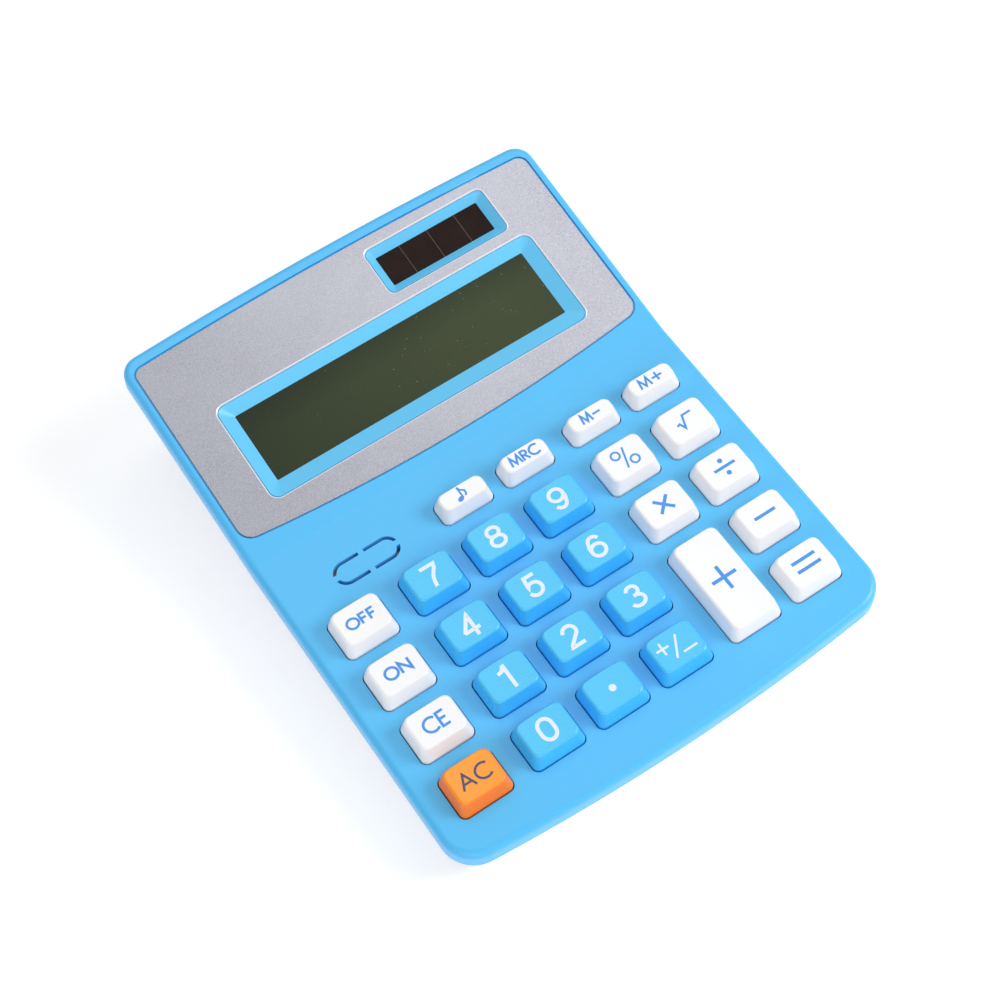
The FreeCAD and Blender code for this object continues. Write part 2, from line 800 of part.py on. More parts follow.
def solar_wires():
    """Two leads from the solar cell's back down to the board."""
    back = glass_top - solar_thickness
    cell_front = solar_inner[1] - solar_margin[1] + 0.8
    wires = []
    for x, board_x in zip(solar_leads_x, solar_board_x):
        wires.append(wire([
            at(display_frame, x, cell_front, back),
            at(display_frame, x, cell_front, back - 2.2),
            at(display_frame, x + 4, 36.6, -7.2),
            at(display_frame, board_x - 5, 20.0, -7.6),
            at(panel_frame, board_x, board_rear + 2.5, board_top + 1.0),
            at(panel_frame, board_x, board_rear - 1.6, board_top + wire_radius),
        ], wire_radius))
    return wires


def battery_wires():
    """One lead from each battery contact to the board's underside."""
    z = battery_z()
    near = battery_y - battery_radius - 1.4
    wires = []
    for hand, reach in zip((-1, 1), battery_board_x):
        board_x = hand * reach
        x = hand * (battery_half() + contact_thickness / 2)
        wires.append(wire([
            Vector(x, near, z + 3.6),
            Vector(x, near - 2.6, z + 3.6),
            Vector(x, 95.0, 7.0),
            Vector(board_x + hand * 9.0, 78.0, 6.6),
            at(panel_frame, board_x, 71.5, board_bottom - 1.6),
            at(panel_frame, board_x, 67.0, board_bottom - wire_radius),
        ], wire_radius))
    return wires


def buzzer_wires():
    """Two short leads from the disc to the board's bare rear strip."""
    x, y = slot_centre
    z = -top_wall - buzzer_brass - wire_radius
    wires = []
    start = y + buzzer_radius - 0.9
    for dx in buzzer_leads_x:
        foot_x = x + dx * 1.3
        wires.append(wire([
            Vector(x + dx, start, z),
            Vector(foot_x, start + 1.8, z - 0.3),
            Vector(foot_x, start + 2.2, board_top + 0.3),
            Vector(foot_x, start + 0.9, board_top + wire_radius),
        ], thin_wire_radius))
    return wires


def lcd_ribbon():
    """Flat connector from the board's rear strip to the display's lower edge."""
    x0, x1 = ribbon_x
    under = glass_top - film_thickness - glass_thickness
    path = [
        at(panel_frame, 0, 65.2, board_top),
        at(panel_frame, 0, board_rear + 0.3, board_top),
        at(display_frame, 0, 5.0, under - 3.0),
        at(display_frame, 0, 10.2, under - 0.6),
        at(display_frame, 0, lcd_inner[1] - lcd_margin[1] + 0.2, under),
        at(display_frame, 0, lcd_inner[1] - lcd_margin[1] + 0.75, under),
    ]
    lift = Vector(0, 0, ribbon_thickness)
    drop = Vector(0, 0, -ribbon_thickness)
    top = [p + lift for p in path[:2]] + path[2:]
    low = path[:2] + [p + drop for p in path[2:]]
    band = Part.Face(Part.makePolygon(top + low[::-1] + [top[0]]))
    band.translate(Vector(x0, 0, 0))
    return band.extrude(Vector(x1 - x0, 0, 0))


def battery_start():
    """Where the cell's flat end stands, against the relaxed coil."""
    return spring_length - battery_half()


def battery():
    z = battery_z()
    x0 = battery_start()
    can = Part.makeCylinder(battery_radius, battery_length, Vector(x0, battery_y, z), Vector(1, 0, 0))
    can = can.makeFillet(battery_rounding, end_rims(can))
    nub = Part.makeCylinder(
        battery_nub_radius, battery_nub, Vector(x0 + battery_length, battery_y, z), Vector(1, 0, 0)
    )
    return can.fuse(nub).removeSplitter()


def contact_plate(hand):
    """A sprung-steel contact against the battery box's end wall, with a solder tab beside the cell."""
    x0, x1 = sorted((hand * battery_half(), hand * (battery_half() + contact_thickness)))
    z = battery_z()
    half = contact_half_width
    plate = box(x0, battery_y - half, z - half, x1, battery_y + half, z + half)
    tab = box(x0, battery_y - battery_radius - 1.4, z + 2.4, x1, battery_y, z + half)
    return plate.fuse(tab).removeSplitter()


def battery_spring():
    """Negative contact: its plate and the coil that presses on the cell."""
    x0 = -battery_half() + spring_wire + spring_gap
    reach = battery_start() - x0 - spring_wire
    helix = Part.makeHelix(reach / spring_turns, reach, spring_radius)
    helix.Placement = Placement(Vector(x0, battery_y, battery_z()), Rotation(Vector(0, 1, 0), 90))
    first = helix.Edges[0]
    section = Part.Wire(Part.makeCircle(
        spring_wire, first.valueAt(first.FirstParameter), first.tangentAt(first.FirstParameter)))
    coil = Part.Wire(helix.Edges).makePipeShell([section], True, True)
    return Part.makeCompound([contact_plate(-1), coil])


def main():
    os.makedirs("parts", exist_ok=True)
    upper = upper_case()
    lower, lower_outer = lower_case()
    holder_seat = glass_top - 2 * film_thickness - glass_thickness - holder_thickness
    desk = {
        "upper_case": upper,
        "lower_case": lower,
        "battery_door": battery_door(lower_outer),
        "battery": battery(),
        "battery_spring": battery_spring(),
        "battery_plate": contact_plate(1),
        "battery_wires": Part.makeCompound(battery_wires()),
        "solar_wires": Part.makeCompound(solar_wires()),
        "lcd_ribbon": lcd_ribbon(),
        "case_screws": Part.makeCompound(case_screws()),
        "rubber_feet": Part.makeCompound([
            cylinder(x, y, 0, foot_height + foot_inset, foot_radius) for x, y in feet_at
        ]),
    }
    panel = {
        "key_sheet": key_sheet(),
        "circuit_board": circuit_board(),
        "buzzer_disc": buzzer_disc(),
        "buzzer_wires": Part.makeCompound(buzzer_wires()),
        "board_screws": Part.makeCompound(small_screws(board_screw_places(), board_bottom)),
        "chip_resin": resin_drop(),
        "capacitor": capacitor(),
        "diode": diode(),
    }
    caps = {depth: key(depth) for depth in (opening_depth, small_opening_depth, tall_opening_depth)}
    for name, (x, y, depth) in keys_layout().items():
        panel["key_" + name] = placed(caps[depth], Placement(Vector(x, y, 0), Rotation()))
    display = {
        "faceplate": faceplate(),
        "holder_screws": Part.makeCompound(small_screws(holder_screws_at, holder_seat)),
        **display_stack(),
        **solar_parts(),
    }
    pieces = dict(desk)
    pieces.update({name: placed(shape, panel_frame) for name, shape in panel.items()})
    pieces.update({name: placed(shape, display_frame) for name, shape in display.items()})
    whole = Part.makeCompound([upper, lower]).BoundBox
    to_origin = Vector(0, -(whole.YMin + whole.YMax) / 2, 0)
    for name, shape in pieces.items():
        shape.translate(to_origin)
        shape.exportStep(f"parts/{name}.step")
        print(name, "solids", len(shape.Solids), "valid", shape.isValid(), "volume", round(shape.Volume, 1))
    print("origin shift", to_origin)


main()
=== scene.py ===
import json
import math

import bmesh
import bpy
from mathutils import Matrix, Quaternion, Vector
from mathutils.bvhtree import BVHTree

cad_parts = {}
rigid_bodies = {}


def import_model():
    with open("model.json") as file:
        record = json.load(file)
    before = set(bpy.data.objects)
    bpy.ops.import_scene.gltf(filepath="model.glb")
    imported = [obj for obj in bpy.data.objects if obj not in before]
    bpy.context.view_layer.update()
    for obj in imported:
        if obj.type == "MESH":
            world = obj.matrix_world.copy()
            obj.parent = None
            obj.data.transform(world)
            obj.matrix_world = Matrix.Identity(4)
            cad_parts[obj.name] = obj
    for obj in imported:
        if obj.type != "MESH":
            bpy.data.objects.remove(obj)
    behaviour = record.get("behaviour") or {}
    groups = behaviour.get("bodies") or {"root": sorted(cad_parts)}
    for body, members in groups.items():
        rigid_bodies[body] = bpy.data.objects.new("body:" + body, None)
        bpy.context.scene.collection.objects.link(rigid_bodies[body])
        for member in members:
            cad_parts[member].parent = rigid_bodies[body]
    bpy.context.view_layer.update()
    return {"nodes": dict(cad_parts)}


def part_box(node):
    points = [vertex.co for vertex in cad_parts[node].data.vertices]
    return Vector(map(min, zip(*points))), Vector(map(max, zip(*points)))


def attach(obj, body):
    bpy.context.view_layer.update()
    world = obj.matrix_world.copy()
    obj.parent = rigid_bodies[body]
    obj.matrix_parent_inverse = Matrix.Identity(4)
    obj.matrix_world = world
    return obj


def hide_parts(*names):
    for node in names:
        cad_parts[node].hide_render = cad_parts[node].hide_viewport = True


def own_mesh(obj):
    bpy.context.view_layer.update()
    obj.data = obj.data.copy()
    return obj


for old in list(bpy.data.objects):  # the start-up cube, lamp and camera
    bpy.data.objects.remove(old, do_unlink=True)

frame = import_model()
nodes = frame["nodes"]

mm = 0.001

# the keypad panel leans 4 degrees on the desk, and the display is turned up another 9 at the bend
stance = {"lean": 4.0, "rise": 11.6 * mm, "back": -59.276 * mm, "bend": 71.7 * mm, "displayTurn": 9.0}
panelFrame = Matrix.Translation((0, stance["back"], stance["rise"])) @ Matrix.Rotation(
    math.radians(stance["lean"]), 4, "X")
displayFrame = panelFrame @ Matrix.Translation((0, stance["bend"], 0)) @ Matrix.Rotation(
    math.radians(stance["displayTurn"]), 4, "X")
panelUp = (panelFrame.to_3x3() @ Vector((0, 0, 1))).normalized()


# shader helpers

def tint(code):  # a six-figure web colour as the linear colour a shader wants
    parts = [int(code[i:i + 2], 16) / 255 for i in (0, 2, 4)]
    return tuple(c / 12.92 if c < 0.04045 else ((c + 0.055) / 1.055) ** 2.4 for c in parts) + (1.0,)


class Signal:  # one socket in a material, with arithmetic that adds Math nodes
    def __init__(self, paint, socket):
        self.paint = paint
        self.socket = socket

    def math(self, operation, *terms):
        return self.paint.node("ShaderNodeMath", {"operation": operation}, dict(enumerate(terms)))

    def __add__(self, other):
        return self.math("ADD", self, other)

    def __sub__(self, other):
        return self.math("SUBTRACT", self, other)

    def __rsub__(self, other):
        return self.math("SUBTRACT", other, self)

    def __mul__(self, other):
        return self.math("MULTIPLY", self, other)

    def __truediv__(self, other):
        return self.math("DIVIDE", self, other)

    def __mod__(self, other):
        return self.math("FLOORED_MODULO", self, other)

    def __abs__(self):
        return self.math("ABSOLUTE", self)

    def __lt__(self, other):
        return self.math("LESS_THAN", self, other)

    def __gt__(self, other):
        return self.math("GREATER_THAN", self, other)

    __radd__ = __add__
    __rmul__ = __mul__

    def clipped(self, low, high):
        return self.math("MAXIMUM", self.math("MINIMUM", self, high), low)


class Paint:  # a Principled material that pieces and CAD nodes wear
    def __init__(self, name, **finish):
        self.material = bpy.data.materials.new(name)
        self.material.use_nodes = True
        self.tree = self.material.node_tree
        self.tree.nodes.clear()
        self.shader = self.tree.nodes.new("ShaderNodeBsdfPrincipled")
        output = self.tree.nodes.new("ShaderNodeOutputMaterial")
        self.tree.links.new(self.shader.outputs[0], output.inputs[0])
        self.place = self.node("ShaderNodeTexCoord", output="Object")
        self.feed(self.shader, {name.replace("_", " "): value for name, value in finish.items()})

    def feed(self, node, sockets):
        for key, value in sockets.items():
            if isinstance(value, Signal):
                self.tree.links.new(value.socket, node.inputs[key])
            else:
                node.inputs[key].default_value = value

    def node(self, kind, settings=None, sockets=None, output=0):
        made = self.tree.nodes.new(kind)
        for name, value in (settings or {}).items():
            setattr(made, name, value)
        self.feed(made, sockets or {})
        return Signal(self, made.outputs[output])

    def wear(self, **sockets):
        self.feed(self.shader, {name.replace("_", " "): value for name, value in sockets.items()})

    def grain(self, perMetre, detail=2.0, rough=0.5, stretch=None):  # 0 to 1, about 0.5
        place = self.place
        if stretch:
            place = self.node("ShaderNodeMapping", None, {"Vector": place, "Scale": stretch})
        return self.node("ShaderNodeTexNoise", {"normalize": True},
                         {"Vector": place, "Scale": perMetre, "Detail": detail, "Roughness": rough})

    def specks(self, perMetre, size):  # 1 in small scattered dots
        cells = self.node("ShaderNodeTexVoronoi", None, {"Vector": self.place, "Scale": perMetre}, "Distance")
        return cells < size

    def blend(self, factor, first, second):
        sockets = {"Factor": factor, 6: first, 7: second}
        return self.node("ShaderNodeMix", {"data_type": "RGBA"}, sockets, 2)

    def shaded(self, colour, shade):  # the colour darkened by a second one
        settings = {"data_type": "RGBA", "blend_type": "MULTIPLY"}
        return self.node("ShaderNodeMix", settings, {"Factor": 1.0, 6: colour, 7: shade}, 2)

    def bump(self, height, depth, strength=1.0, normal=None):
        sockets = {"Height": height, "Distance": depth, "Strength": strength}
        if normal:
            sockets["Normal"] = normal
        return self.node("ShaderNodeBump", None, sockets)

    def axis(self, letter):
        return self.node("ShaderNodeSeparateXYZ", None, {0: self.place}, letter)

    def ramp(self, letter, low, high):  # 0 to 1 between two places along an axis
        return ((self.axis(letter) - low) / (high - low)).clipped(0, 1)


# finishes, one for each thing the calculator is made of

plastics = {
    # slot: colour on top, colour on the slopes (a painted shade, given to faces as they turn away from straight
    # up), roughness, depth of the spark texture
    "blue_shell": ("53bef5", "50b8f4", 0.36, 0.006 * mm),
    "white_shell": ("dfe2ea", "d3d7e1", 0.42, 0.008 * mm),
    "blue_key": ("4dc6f5", "40b7fb", 0.27, 0.003 * mm),
    "white_key": ("f6f6f8", "fbf4f2", 0.25, 0.003 * mm),
    "orange_key": ("fca028", "ff7408", 0.27, 0.003 * mm),
    "holder_plastic": ("d9dbdf", "cfd2d8", 0.5, 0.01 * mm),
}


windowFrames = {  # node behind each window: how far its frame reaches past the node, across and along
    "front_polariser": (1.9 * mm, 2.9 * mm),
    "solar_cell": (2.2 * mm, 2.2 * mm),
}


def insideWindows(paint):  # 1 on the bevels round the digits and round the solar cell
    found = 0
    for glass, (wide, deep) in windowFrames.items():
        low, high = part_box(glass)
        across = (paint.axis("X") > low.x - wide) * (paint.axis("X") < high.x + wide)
        along = (paint.axis("Y") > low.y - deep) * (paint.axis("Y") < high.y + deep)
        found = across * along + found
    return found


def mouldedPlastic(name, top, painted_slope_colour, roughness, spark):
    paint = Paint(name, IOR=1.49)
    facing = paint.node("ShaderNodeNewGeometry", output="Normal")
    upward = paint.node("ShaderNodeSeparateXYZ", None, {0: facing}, "Z")
    flow = paint.grain(55, 3.0)
    handled = paint.grain(420, 4.0, 0.6)
    texture = paint.grain(9000, 1.0)
    sink = paint.grain(70, 1.0)
    # painted shade: the colour moves from the top colour to the darker, deeper slope colour as the face turns
    # away from straight up
    painted_slope_shade = (1.06 - upward + (flow - 0.5) * 0.25).clipped(0, 1)
    paint.wear(
        Base_Color=paint.blend(painted_slope_shade, tint(top), tint(painted_slope_colour)),
        Roughness=(roughness - 0.05 + handled * 0.1).clipped(0.05, 1),
        Normal=paint.bump(texture, spark, 0.6, paint.bump(sink, 0.02 * mm, 0.25)),
    )
    return paint


paints = {slot: mouldedPlastic(slot + "_finish", *finish) for slot, finish in plastics.items()}

shell = paints["blue_shell"]  # its two window frames are painted a shade lighter than the panel, a painted highlight for the light the bevels catch
mixed = Signal(shell, shell.shader.inputs["Base Color"].links[0].from_socket)
# painted highlight: the shell colour is lightened inside the window-frame boxes
shell.wear(Base_Color=shell.blend(insideWindows(shell) * 0.8, mixed, tint("6fd0fb")))


def blastedAluminium():
    paint = Paint("blasted_aluminium", Metallic=0.55, IOR=1.5)
    sand = paint.grain(4300, 2.0, 0.75)
    cloud = paint.grain(28, 3.0, 0.55)
    stain = paint.grain(160, 4.0, 0.6)
    base = paint.blend((sand * 3 - 1).clipped(0, 1), tint("a6a6b1"), tint("d9d9e2"))
    worn = paint.blend((cloud * 2.2 - 0.75).clipped(0, 1) * 0.5, base, tint("d6d7e0"))
    worn = paint.blend((stain * 3 - 1.7).clipped(0, 1) * 0.25, worn, tint("a2a0ac"))
    # painted light: the plate is coloured lighter towards the right, where the window light falls, and darker
    # towards the left
    painted_light_ramp = paint.blend(paint.ramp("X", -48 * mm, 48 * mm), tint("dfdfdf"), tint("ffffff"))
    paint.wear(
        Base_Color=paint.shaded(worn, painted_light_ramp),
        Roughness=0.4 + sand * 0.16,
        Normal=paint.bump(sand, 0.012 * mm, 0.8),
    )
    return paint


def polishedEdge():
    paint = Paint("polished_edge", Metallic=0.35, IOR=1.5)
    lines = paint.grain(2500, 2.0)
    paint.wear(
        # the near-white colour is partly the polished chamfer's own bright metal and partly a painted
        # highlight: the metal is made mostly diffuse so the rim shows white whatever it reflects
        Base_Color=paint.blend(lines, tint("f2f4fb"), tint("ffffff")),
        Roughness=0.16 + lines * 0.1,
        Normal=paint.bump(lines, 0.003 * mm, 0.4),
    )
    return paint


def olivePolariser():
    paint = Paint("olive_polariser", IOR=1.4)
    drift = paint.grain(22, 1.0)
    mottle = paint.grain(900, 3.0, 0.6)
    dust = paint.specks(900, 0.075) * (paint.grain(330, 1.0) > 0.57)
    lint = paint.specks(3300, 0.16) * (paint.grain(140, 1.0) > 0.66)
    film = paint.blend((drift * 2 - 0.5).clipped(0, 1), tint("39432c"), tint("434c32"))
    film = paint.blend(mottle * 0.22, film, tint("2e3524"))
    # painted shade: the film is darkened towards the left, away from the window light
    film = paint.shaded(film, paint.blend(paint.ramp("X", -36 * mm, 30 * mm), tint("cdd0cf"), tint("ffffff")))
    # painted shadow: the film is darkened towards its rear edge, where the window frame's wall shades it
    film = paint.shaded(film, paint.blend(paint.ramp("Y", 38 * mm, 45 * mm), tint("ffffff"), tint("d6dadc")))
    film = paint.blend(dust * 0.75, film, tint("a9ae93"))
    paint.wear(
        Base_Color=paint.blend(lint * 0.35, film, tint("7d8368")),
        Roughness=(0.3 + mottle * 0.08 + dust * 0.3).clipped(0, 1),
        Specular_IOR_Level=0.22,
    )
    return paint


def amorphousSolarGlass():
    low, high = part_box("solar_cell")
    pitch, line = 7.4 * mm, 0.11 * mm  # four segments, with a thin scribed line between each two
    paint = Paint("amorphous_solar_glass", IOR=1.45)
    across = paint.axis("X") - (low.x + high.x) / 2 + pitch * 10
    scribe = (across % pitch) < line
    haze = paint.grain(240, 3.0)
    silicon = paint.blend((haze * 2 - 0.5).clipped(0, 1), tint("20120d"), tint("281914"))
    paint.wear(
        Base_Color=paint.blend(scribe * 0.6, silicon, tint("8a7468")),
        Roughness=0.12 + haze * 0.1,
        Specular_IOR_Level=0.08,
    )
    return paint


def rolledMetal(name, light, dark, roughness, across=(1.0, 14.0, 1.0)):
    paint = Paint(name, Metallic=1.0)
    lines = paint.grain(1100, 3.0, 0.6, across)
    tarnish = paint.grain(260, 4.0, 0.6)
    paint.wear(
        Base_Color=paint.blend((tarnish * 2 - 0.5).clipped(0, 1), tint(light), tint(dark)),
        Roughness=(roughness - 0.06 + lines * 0.12 + tarnish * 0.1).clipped(0.05, 1),
        Normal=paint.bump(lines, 0.004 * mm, 0.5),
    )
    return paint


def softRubber(name, light, dark, roughness):
    paint = Paint(name, IOR=1.52)
    bloom = paint.grain(350, 4.0, 0.65)
    pores = paint.grain(5200, 2.0)
    paint.wear(
        Base_Color=paint.blend(bloom, tint(light), tint(dark)),
        Roughness=(roughness + bloom * 0.12).clipped(0, 1),
        Normal=paint.bump(pores, 0.01 * mm, 0.8),
    )
    return paint


def maskedLaminate():
    paint = Paint("masked_laminate", IOR=1.5)
    x = paint.axis("X")
    y = paint.axis("Y")
    wander = paint.grain(60, 1.0) * 3 * mm
    track = {"half": 0.32 * mm, "across": 2.54 * mm, "along": 7.6 * mm}
    runs = abs(((x + wander) % track["across"]) - track["across"] / 2) < track["half"]
    links = abs(((y + wander) % track["along"]) - track["along"] / 2) < track["half"]
    copper = (runs + links).clipped(0, 1)
    weave = paint.grain(2600, 1.0, 0.5, (1.0, 5.0, 1.0))
    mask = paint.blend(weave * 0.5, tint("1f6a38"), tint("17552c"))
    paint.wear(
        Base_Color=paint.blend(copper * 0.75, mask, tint("4f9a58")),
        Roughness=0.34 + weave * 0.14,
        Normal=paint.bump(copper, 0.03 * mm, 0.6),
    )
    return paint


def cellJacket():
    low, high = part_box("battery")
    paint = Paint("cell_jacket", Metallic=0.3, IOR=1.5)
    along = (paint.axis("X") - low.x) / (high.x - low.x)
    scuff = paint.grain(600, 4.0, 0.6, (1.0, 6.0, 1.0))
    band = (along > 0.74) * (along < 0.975)
    jacket = paint.blend(band, tint("1d1f24"), tint("c08a3a"))
    paint.wear(
        Base_Color=paint.blend((scuff * 3 - 1.7).clipped(0, 1) * 0.3, jacket, tint("8d8d90")),
        Roughness=(0.22 + scuff * 0.2).clipped(0, 1),
        Metallic=0.2 + band * 0.5,
    )
    return paint


def padPrint(name, colour, shade):
    paint = Paint(name, IOR=1.5)
    ink = paint.grain(2400, 3.0, 0.6)
    paint.wear(
        Base_Color=paint.blend(ink, tint(colour), tint(shade)),
        Roughness=0.34 + ink * 0.2,
        Normal=paint.bump(ink, 0.006 * mm, 0.5),
    )
    return paint


paints.update({
    "plate_aluminium": blastedAluminium(),
    "polished": polishedEdge(),
    "polariser": olivePolariser(),
    "solar_glass": amorphousSolarGlass(),
    "board_laminate": maskedLaminate(),
    "cell_jacket": cellJacket(),
    "display_glass": mouldedPlastic("display_glass_finish", "b9c4b4", "adb8a8", 0.12, 0.001 * mm),
    "reflector_film": rolledMetal("reflector_film_finish", "c4c8c6", "b4b8b6", 0.35),
    "buzzer_brass": rolledMetal("buzzer_brass_finish", "d9b25e", "c29a48", 0.3),
    "contact_steel": rolledMetal("contact_steel_finish", "d4d6da", "bcbfc4", 0.26),
    "screw_steel": rolledMetal("screw_steel_finish", "a9acb1", "8f9298", 0.3, (6.0, 6.0, 1.0)),
    "capacitor_can": rolledMetal("capacitor_can_finish", "3c4046", "30343a", 0.34),
    "diode_glass": mouldedPlastic("diode_glass_finish", "b4502c", "9c4224", 0.12, 0.001 * mm),
    "chip_resin": softRubber("chip_resin_finish", "131316", "1c1c20", 0.28),
    "sheet_rubber": softRubber("sheet_rubber_finish", "d2d4d2", "c3c6c4", 0.62),
    "foot_rubber": softRubber("foot_rubber_finish", "33363a", "26292d", 0.7),
    "pad_foam": softRubber("pad_foam_finish", "2b2b2e", "1d1d20", 0.85),
    "wire_jacket": softRubber("wire_jacket_finish", "c92a24", "b3221d", 0.42),
    "ribbon_film": mouldedPlastic("ribbon_film_finish", "c9812f", "bb7527", 0.3, 0.002 * mm),
    "sky_ink": padPrint("sky_ink", "3d8fe2", "4a9bea"),
    "white_ink": padPrint("white_ink", "eaf3fc", "dfecf9"),
    "navy_ink": padPrint("navy_ink", "3b4468", "465074"),
})


def slotOf(node):
    return node.data.materials[0].name.split(".")[0]


slots = {name: slotOf(node) for name, node in nodes.items()}
for name, node in nodes.items():
    node.material_slots[0].link = "OBJECT"
    node.material_slots[0].material = paints[slots[name]].material
print("finishes mixed and put on", len(nodes), "nodes")


# mesh helpers

def piece(name, mesh, *finishes):
    made = bpy.data.objects.new(name, mesh)
    bpy.context.scene.collection.objects.link(made)
    for finish in finishes:
        mesh.materials.append(paints[finish].material)
    return made


def meshOf(name, bm, sharpAbove=35):
    bmesh.ops.recalc_face_normals(bm, faces=bm.faces)
    mesh = bpy.data.meshes.new(name)
    bm.to_mesh(mesh)
    bm.free()
    for face in mesh.polygons:
        face.use_smooth = True
    mesh.set_sharp_from_angle(angle=math.radians(sharpAbove))
    return mesh


# faceplate: satin blasted, with the cut rims of both windows polished bright, their near-white colour partly a
# painted highlight

plate = {"rim": 0.34 * mm, "insideX": 45 * mm, "insideY": (9 * mm, 51.9 * mm)}


def rimmedPlate():
    bm = bmesh.new()
    bm.from_mesh(nodes["faceplate"].data)
    bmesh.ops.remove_doubles(bm, verts=bm.verts, dist=0.001 * mm)
    toDisplay = displayFrame.inverted()
    top = max((toDisplay @ v.co).z for v in bm.verts)
    low, high = plate["insideY"]
    rims = []
    for edge in bm.edges:
        ends = [toDisplay @ v.co for v in edge.verts]
        level = all(p.z > top - 0.02 * mm for p in ends)
        within = all(abs(p.x) < plate["insideX"] and low < p.y < high for p in ends)
        if level and within and edge.calc_face_angle(0) > 1:
            rims.append(edge)
    bmesh.ops.bevel(bm, geom=rims, offset=plate["rim"], offset_type="OFFSET", segments=2, profile=0.5,
                    affect="EDGES", clamp_overlap=True, material=1)
    print("plate rims bevelled along", len(rims), "edges")
    return meshOf("plate_with_polished_rims", bm, 15)


plateMade = piece("plate_with_polished_rims", rimmedPlate(), "plate_aluminium", "polished")
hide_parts("faceplate")
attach(plateMade, "case")


# rubber key sheet: the flat sheet on the board, and one dome under each key

dome = {
    "base": 3.2 * mm, "tip": 1.9 * mm, "height": 2.1 * mm, "wall": 0.6 * mm, "round": 0.25 * mm,
    "pill": 1.3 * mm, "pillDepth": 0.2 * mm, "keep": 0.3,
}
rowPitch = 13.95 * mm
tallKey = 20 * mm  # a key deeper than this stands on two domes


def inPanel(name):
    toPanel = panelFrame.inverted()
    return [toPanel @ v.co for v in nodes[name].data.vertices]


def spun(profile, steps=40):
    # profile is (radius, height) pairs round a closed section that starts and ends on the axis
    bm = bmesh.new()
    rings = []
    for radius, height in profile:
        if radius < 1e-9:
            rings.append([bm.verts.new((0, 0, height))])
        else:
            turns = [2 * math.pi * i / steps for i in range(steps)]
            rings.append([bm.verts.new((radius * math.cos(a), radius * math.sin(a), height)) for a in turns])
    for lower, upper in zip(rings, rings[1:]):
        for i in range(steps):
            corners = [lower[i % len(lower)], lower[(i + 1) % len(lower)],
                       upper[(i + 1) % len(upper)], upper[i % len(upper)]]
            bm.faces.new(list(dict.fromkeys(corners)))
    return bm


def domeSection():  # from the middle of the top, down outside, up inside and across the contact pill
    d = dome
    ceiling = d["height"] - d["wall"] - d["pillDepth"]
    pillFace = ceiling - d["pillDepth"]
    return [
        (0, d["height"]), (d["tip"] - d["round"], d["height"]), (d["tip"], d["height"] - d["round"]),
        (d["base"], 0), (d["base"] - d["wall"], 0), (d["tip"] - d["wall"], ceiling),
        (d["pill"], ceiling), (d["pill"], pillFace), (0, pillFace),
    ]


def flatSheet():
    bm = bmesh.new()
    bm.from_mesh(nodes["key_sheet"].data)
    bmesh.ops.remove_doubles(bm, verts=bm.verts, dist=0.001 * mm)
    cut = sheetTop - 0.03 * mm
    result = bmesh.ops.bisect_plane(
        bm, geom=bm.verts[:] + bm.edges[:] + bm.faces[:], dist=1e-7,
        plane_co=panelFrame @ Vector((0, 0, cut)), plane_no=panelUp, clear_outer=True)
    rim = [g for g in result["geom_cut"] if isinstance(g, bmesh.types.BMEdge)]
    bmesh.ops.triangle_fill(bm, edges=rim, use_beauty=True, normal=panelUp)
    return meshOf("flat_key_sheet", bm, 30)


keyNames = sorted(name for name in nodes if name.startswith("key_") and name != "key_sheet")
panelPoints = {name: inPanel(name) for name in keyNames}
sheetTop = max(p.z for p in inPanel("key_sheet")) - dome["height"]
sheetMade = piece("flat_key_sheet", flatSheet(), "sheet_rubber")
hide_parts("key_sheet")
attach(sheetMade, "case")

for name in keyNames:
    xs = [p.x for p in panelPoints[name]]
    ys = [p.y for p in panelPoints[name]]
    middleX, middleY = (min(xs) + max(xs)) / 2, (min(ys) + max(ys)) / 2
    reach = rowPitch / 2 if max(ys) - min(ys) > tallKey else 0
    bm = bmesh.new()
    for along in sorted({-reach, reach}):
        one = spun(domeSection())
        one.transform(panelFrame @ Matrix.Translation((middleX, middleY + along, sheetTop)))
        mesh = bpy.data.meshes.new("dome")
        one.to_mesh(mesh)
        one.free()
        bm.from_mesh(mesh)
        bpy.data.meshes.remove(mesh)
    domeMade = piece("dome_" + name[4:], meshOf("dome_" + name[4:], bm, 40), "sheet_rubber")
    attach(domeMade, "case")
    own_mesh(domeMade)
print("key sheet and", len(keyNames), "domes made")


# key legends: each is a few pen strokes, laid on the dished key top as thin printed ribbons

def arc(x, y, acrossRadius, upRadius, start, end, steps=22):
    turns = [math.radians(start + (end - start) * i / steps) for i in range(steps + 1)]
    return [(x + acrossRadius * math.cos(a), y + upRadius * math.sin(a)) for a in turns]


def ring(x, y, acrossRadius, upRadius, steps=36):
    return {"closed": arc(x, y, acrossRadius, upRadius, 90, 450, steps)[:-1]}


# letters on a cap height of 1: width, then strokes
letters = {
    "O": (1.0, [ring(0.5, 0.5, 0.5, 0.5)]),
    "F": (0.52, [[(0, 0), (0, 1), (0.52, 1)], [(0, 0.52), (0.46, 0.52)]]),
    "N": (0.78, [[(0, 0), (0, 1), (0.78, 0), (0.78, 1)]]),
    "C": (0.82, [arc(0.52, 0.5, 0.52, 0.5, 48, 312, 30)]),
    "E": (0.52, [[(0.52, 1), (0, 1), (0, 0), (0.52, 0)], [(0, 0.53), (0.46, 0.53)]]),
    "M": (1.0, [[(0, 0), (0.14, 1), (0.5, 0.12), (0.86, 1), (1.0, 0)]]),
    "R": (0.52, [[(0, 0), (0, 1)] + arc(0.24, 0.76, 0.26, 0.24, 90, -90, 14) + [(0, 0.52)],
                 [(0.22, 0.52), (0.55, 0)]]),
    "A": (0.86, [[(0, 0), (0.43, 1), (0.86, 0)], [(0.15, 0.35), (0.71, 0.35)]]),
    "+": (0.92, [[(0, 0.5), (0.92, 0.5)], [(0.46, 0.04), (0.46, 0.96)]]),
    "-": (0.8, [[(0, 0.5), (0.8, 0.5)]]),
}

